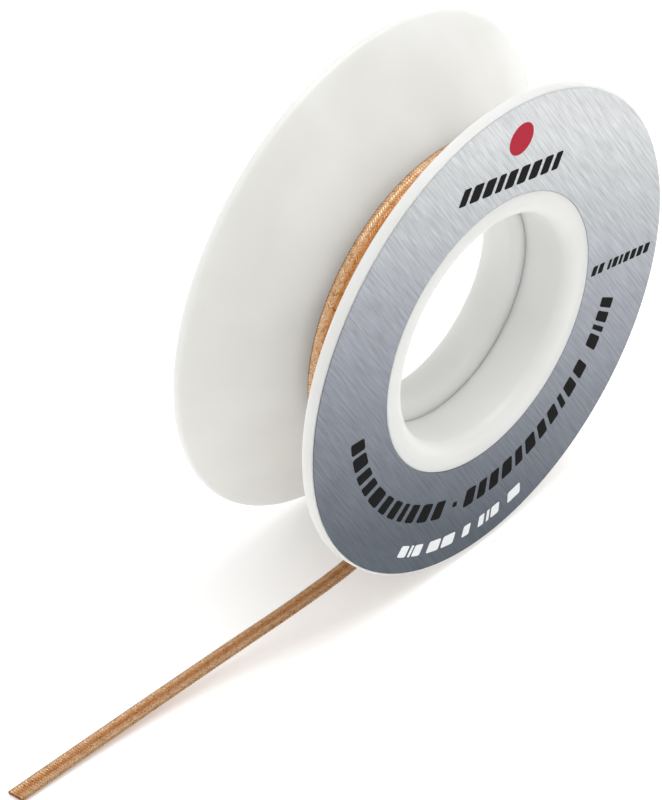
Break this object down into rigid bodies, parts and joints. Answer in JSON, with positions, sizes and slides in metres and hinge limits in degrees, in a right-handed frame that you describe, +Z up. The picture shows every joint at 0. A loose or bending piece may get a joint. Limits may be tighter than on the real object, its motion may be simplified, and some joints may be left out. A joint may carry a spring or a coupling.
{
  "type": "desoldering braid reel",
  "caption": "Two-part plastic reel with a flat front flange, a dished rear flange, a ring label, wound flat copper braid and its free tail.",
  "frame": {"origin": "on the surface the rear rim stands on, midway between the outer faces of the two flanges, below the axle line", "axes": "+Z up; Y along the axle line, front (label) side towards -Y; the free tail runs out towards -X"},
  "size_m": [0.0757, 0.0156, 0.0472],
  "materials": {
    "milky_plastic": "moulded, milky, softly glossy",
    "label_foil": "brushed foil, printed",
    "copper_braid": "fine woven bare copper strands"
  },
  "bodies": {
    "reel": {"front_half": "milky_plastic", "rear_half": "milky_plastic", "label": "label_foil", "braid_winding": "copper_braid"},
    "braid": {"braid_top_layer": "copper_braid", "braid_tail": "copper_braid"}
  },
  "joints": [
    {"name": "unwind", "type": "hinge", "parent": "reel", "child": "braid", "pos_m": [0, 0, 0.0236], "axis": [0, 1, 0], "continuous": true}
  ]
}
